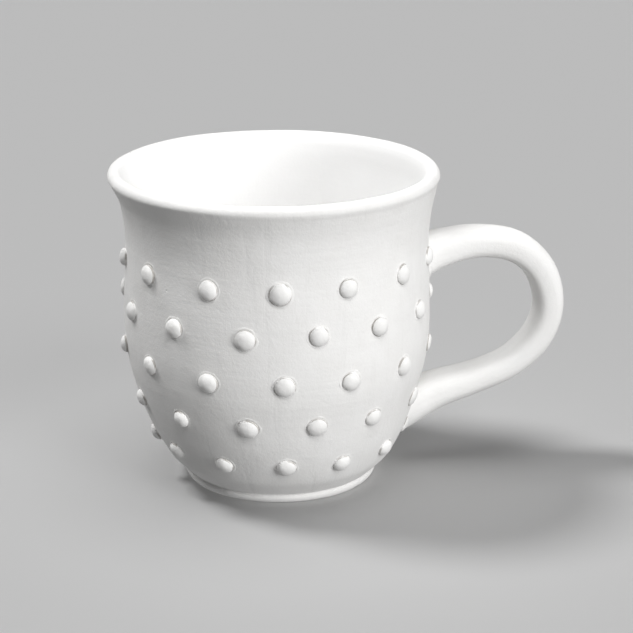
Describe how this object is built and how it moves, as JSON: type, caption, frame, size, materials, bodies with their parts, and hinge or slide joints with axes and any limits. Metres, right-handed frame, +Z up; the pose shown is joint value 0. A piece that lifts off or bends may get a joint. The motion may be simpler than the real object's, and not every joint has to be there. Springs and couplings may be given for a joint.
{
  "type": "stoneware mug",
  "caption": "Handmade stoneware mug in unglazed white clay: flared lip, rounded belly on a low foot ring, ear-shaped strap handle, staggered rows of raised round dots.",
  "frame": {"origin": "the centre of the foot ring's underside, where the mug's turning axis meets the table", "axes": "+Z up along the turning axis, +X from the axis towards the handle, +Y to the left of someone who looks from the handle to the mug's axis"},
  "size_m": [0.1409, 0.1, 0.0975],
  "materials": {
    "thrown_clay": "matt unglazed bisque, sponged, with faint turning lines",
    "pulled_clay": "matt unglazed bisque, smoothed lengthwise",
    "joining_slip": "matt dried slip, brushed round the joints",
    "dot_clay": "matt unglazed bisque, each dot smoothed by hand"
  },
  "bodies": {
    "root": {"mug_body": "thrown_clay", "handle": "pulled_clay", "upper_slip_seam": "joining_slip", "lower_slip_seam": "joining_slip", "dot_row_1": "dot_clay", "dot_row_2": "dot_clay", "dot_row_3": "dot_clay", "dot_row_4": "dot_clay", "dot_row_5": "dot_clay"}
  },
  "joints": []
}
